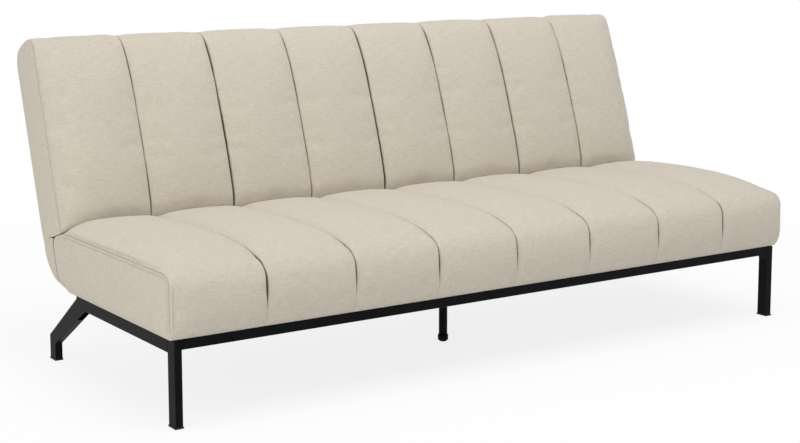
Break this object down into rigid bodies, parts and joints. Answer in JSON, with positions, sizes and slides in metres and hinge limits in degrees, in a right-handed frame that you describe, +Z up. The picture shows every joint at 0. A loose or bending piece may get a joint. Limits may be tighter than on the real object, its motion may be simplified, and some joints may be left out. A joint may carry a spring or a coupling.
{
  "type": "click clack sofa bed",
  "caption": "Armless sofa bed with a channel-stitched linen seat and back on a black steel frame; the back folds down flat on click clack hinges.",
  "frame": {"origin": "on the floor, under the middle of the sofa bed's bounding box", "axes": "+X to the right as seen from the front, along the seat's width; -Y the way the sitter faces; +Z up"},
  "size_m": [1.976, 0.931, 0.8518],
  "materials": {
    "frame_black": "matte black powder coat",
    "hinge_zinc": "zinc plated steel",
    "spring_steel": "oiled spring steel",
    "glide_black": "moulded black plastic",
    "timber": "planed softwood",
    "linen": "oatmeal linen weave",
    "dust_cloth": "black non-woven cloth",
    "webbing": "dark woven elastic webbing"
  },
  "bodies": {
    "base": {"front_rail": "frame_black", "rear_rail": "frame_black", "centre_rail": "frame_black", "centre_leg": "frame_black", "centre_leg_foot": "glide_black", "front_leg_left": "frame_black", "front_leg_right": "frame_black", "side_rail_left": "frame_black", "side_rail_right": "frame_black", "rear_leg_left": "frame_black", "rear_leg_right": "frame_black", "front_glide_left": "glide_black", "front_glide_right": "glide_black", "rear_glide_left": "glide_black", "rear_glide_right": "glide_black", "seat_front_board": "timber", "seat_rear_board": "timber", "seat_side_board_left": "timber", "seat_side_board_right": "timber", "seat_joist_left": "timber", "seat_joist_right": "timber", "seat_spring_1": "spring_steel", "seat_spring_2": "spring_steel", "seat_spring_3": "spring_steel", "seat_spring_4": "spring_steel", "seat_spring_5": "spring_steel", "seat_dust_cover": "dust_cloth", "seat_cushion": "linen", "hinge_seat_plate_left": "hinge_zinc", "hinge_seat_plate_right": "hinge_zinc", "hinge_pivot_left": "hinge_zinc", "hinge_pivot_right": "hinge_zinc", "hinge_pawl_spring_left": "spring_steel", "hinge_pawl_spring_right": "spring_steel", "seat_hinge_screw_left_1": "hinge_zinc", "seat_hinge_screw_left_2": "hinge_zinc", "seat_hinge_screw_right_1": "hinge_zinc", "seat_hinge_screw_right_2": "hinge_zinc", "hinge_cover": "linen"},
    "back": {"hinge_back_arm_left": "hinge_zinc", "hinge_back_arm_right": "hinge_zinc", "back_hinge_screw_left_1": "hinge_zinc", "back_hinge_screw_left_2": "hinge_zinc", "back_hinge_screw_right_1": "hinge_zinc", "back_hinge_screw_right_2": "hinge_zinc", "back_bottom_board": "timber", "back_top_board": "timber", "back_side_board_left": "timber", "back_side_board_right": "timber", "back_cross_board_left": "timber", "back_cross_board_right": "timber", "back_strap_1": "webbing", "back_strap_2": "webbing", "back_strap_3": "webbing", "back_cushion": "linen", "back_rear_cover": "linen"},
    "pawl_left": {"hinge_pawl_left": "hinge_zinc"},
    "pawl_right": {"hinge_pawl_right": "hinge_zinc"}
  },
  "joints": [
    {"name": "back_recline", "type": "hinge", "parent": "base", "child": "back", "pos_m": [0, 0.20549, 0.322], "axis": [-1, 0, 0], "range_deg": [0, 71.7], "deforming": ["hinge_cover"]},
    {"name": "pawl_left_engage", "type": "hinge", "parent": "base", "child": "pawl_left", "pos_m": [-0.9334, 0.17549, 0.2861], "axis": [1, 0, 0], "range_deg": [0, 6], "deforming": ["hinge_pawl_spring_left"]},
    {"name": "pawl_right_engage", "type": "hinge", "parent": "base", "child": "pawl_right", "pos_m": [0.9334, 0.17549, 0.2861], "axis": [1, 0, 0], "range_deg": [0, 6], "deforming": ["hinge_pawl_spring_right"]}
  ]
}
